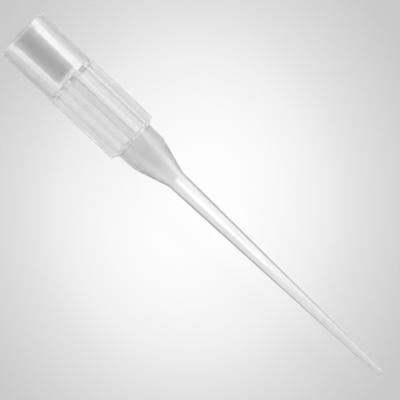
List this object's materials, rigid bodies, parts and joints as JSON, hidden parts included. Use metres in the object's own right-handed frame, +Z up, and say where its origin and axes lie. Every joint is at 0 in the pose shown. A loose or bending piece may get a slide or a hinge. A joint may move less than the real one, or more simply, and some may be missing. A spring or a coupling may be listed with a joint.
{
  "type": "pipette tip",
  "caption": "Extra-long disposable micropipette tip: smooth collar with a nozzle socket, ribbed sleeve, cone and fine tapered capillary.",
  "frame": {"origin": "centre of the tip's footprint on the surface that it lies on", "axes": "+X along the tip from its rim to its point, +Z up from the surface"},
  "size_m": [0.046, 0.0054, 0.0054],
  "materials": {
    "natural_polypropylene": "translucent, moulded, polished"
  },
  "bodies": {
    "root": {"pipette_tip": "natural_polypropylene"}
  },
  "joints": []
}
